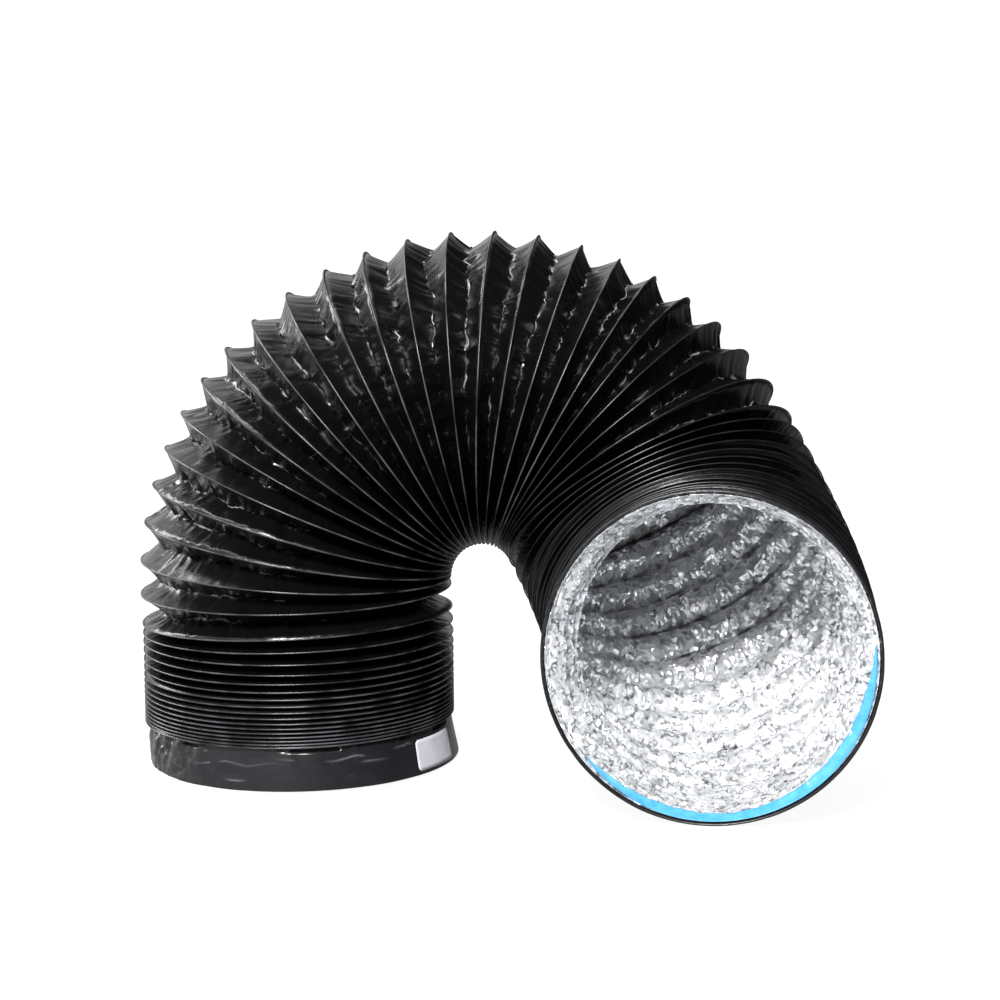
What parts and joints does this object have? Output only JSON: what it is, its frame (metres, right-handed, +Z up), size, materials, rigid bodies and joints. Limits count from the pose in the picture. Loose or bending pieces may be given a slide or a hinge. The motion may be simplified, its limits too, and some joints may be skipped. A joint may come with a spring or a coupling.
{
  "type": "flexible air duct",
  "caption": "Ribbed flexible air duct with a smooth end cuff, bent over in an arch from a compressed stack to an open foil-lined mouth.",
  "frame": {"origin": "centre of the end cuff's lower edge, on the floor", "axes": "+Z up the cuff, +X towards the mouth leg, the mouth faces -Y and 7 degrees round towards the column"},
  "size_m": [0.4711, 0.3058, 0.349],
  "materials": {
    "film": "thin black plastic film with a soft sheen",
    "foil": "crumpled aluminium foil",
    "wire": "spring-steel wire under the film",
    "label": "bare white sticker",
    "tape": "light blue adhesive tape"
  },
  "bodies": {
    "base": {"end_cuff": "film", "cuff_label": "label", "stack_film": "film", "stack_wire": "wire", "stack_foil": "foil", "slack_film": "film", "slack_wire": "wire", "slack_foil": "foil"},
    "neck": {"neck_film": "film", "neck_wire": "wire", "neck_foil": "foil", "pleat_1_film": "film", "pleat_1_foil": "foil"},
    "arch_1": {"arch_1_film": "film", "arch_1_wire": "wire", "arch_1_foil": "foil", "pleat_2_film": "film", "pleat_2_foil": "foil"},
    "arch_2": {"arch_2_film": "film", "arch_2_wire": "wire", "arch_2_foil": "foil", "pleat_3_film": "film", "pleat_3_foil": "foil"},
    "arch_3": {"arch_3_film": "film", "arch_3_wire": "wire", "arch_3_foil": "foil", "pleat_4_film": "film", "pleat_4_foil": "foil"},
    "arch_4": {"arch_4_film": "film", "arch_4_wire": "wire", "arch_4_foil": "foil", "pleat_5_film": "film", "pleat_5_foil": "foil"},
    "arch_5": {"arch_5_film": "film", "arch_5_wire": "wire", "arch_5_foil": "foil", "pleat_6_film": "film", "pleat_6_foil": "foil"},
    "arch_6": {"arch_6_film": "film", "arch_6_wire": "wire", "arch_6_foil": "foil", "pleat_7_film": "film", "pleat_7_foil": "foil"},
    "arch_7": {"arch_7_film": "film", "arch_7_wire": "wire", "arch_7_foil": "foil", "pleat_8_film": "film", "pleat_8_foil": "foil"},
    "mouth": {"mouth_film": "film", "mouth_wire": "wire", "mouth_foil": "foil", "mouth_hem": "film", "foil_hem": "foil", "tape_strip": "tape"}
  },
  "joints": [
    {"name": "stack_stretch", "type": "slide", "parent": "base", "child": "neck", "axis": [0, 0, 1], "range_m": [-0.012, 0.12], "deforming": ["slack_film", "slack_wire", "slack_foil"]},
    {"name": "fold_1", "type": "hinge", "parent": "neck", "child": "arch_1", "pos_m": [0.10052, 0.01676, 0.12594], "axis": [-0.1564, 0.9877, 0], "range_deg": [-6, 2], "deforming": ["pleat_1_film", "pleat_1_foil"]},
    {"name": "fold_2", "type": "hinge", "parent": "arch_1", "child": "arch_2", "pos_m": [0.10611, -0.00844, 0.13678], "axis": [0.0727, 0.9917, -0.1058], "range_deg": [-6, 2], "deforming": ["pleat_2_film", "pleat_2_foil"]},
    {"name": "fold_3", "type": "hinge", "parent": "arch_2", "child": "arch_3", "pos_m": [0.11467, -0.00837, 0.14333], "axis": [0.0727, 0.9917, -0.1058], "range_deg": [-6, 2], "deforming": ["pleat_3_film", "pleat_3_foil"]},
    {"name": "fold_4", "type": "hinge", "parent": "arch_3", "child": "arch_4", "pos_m": [0.12575, -0.00899, 0.1451], "axis": [0.0727, 0.9917, -0.1058], "range_deg": [-6, 2], "deforming": ["pleat_4_film", "pleat_4_foil"]},
    {"name": "fold_5", "type": "hinge", "parent": "arch_4", "child": "arch_5", "pos_m": [0.13543, -0.05227, 0.15547], "axis": [-0.1038, 0.8701, -0.4819], "range_deg": [-6, 2], "deforming": ["pleat_5_film", "pleat_5_foil"]},
    {"name": "fold_6", "type": "hinge", "parent": "arch_5", "child": "arch_6", "pos_m": [0.14023, -0.05444, 0.15053], "axis": [-0.1038, 0.8701, -0.4819], "range_deg": [-6, 2], "deforming": ["pleat_6_film", "pleat_6_foil"]},
    {"name": "fold_7", "type": "hinge", "parent": "arch_6", "child": "arch_7", "pos_m": [0.20822, -0.12649, 0.20319], "axis": [-0.8519, 0.1046, -0.5131], "range_deg": [-6, 2], "deforming": ["pleat_7_film", "pleat_7_foil"]},
    {"name": "fold_8", "type": "hinge", "parent": "arch_7", "child": "mouth", "pos_m": [0.21166, -0.14021, 0.19468], "axis": [-0.8519, 0.1046, -0.5131], "range_deg": [-6, 2], "deforming": ["pleat_8_film", "pleat_8_foil"]}
  ],
  "couplings": [
    {"joint": "fold_2", "follows": "fold_1", "ratio": 1},
    {"joint": "fold_3", "follows": "fold_1", "ratio": 1},
    {"joint": "fold_4", "follows": "fold_1", "ratio": 1},
    {"joint": "fold_5", "follows": "fold_1", "ratio": 1},
    {"joint": "fold_6", "follows": "fold_1", "ratio": 1},
    {"joint": "fold_8", "follows": "fold_7", "ratio": 1}
  ]
}
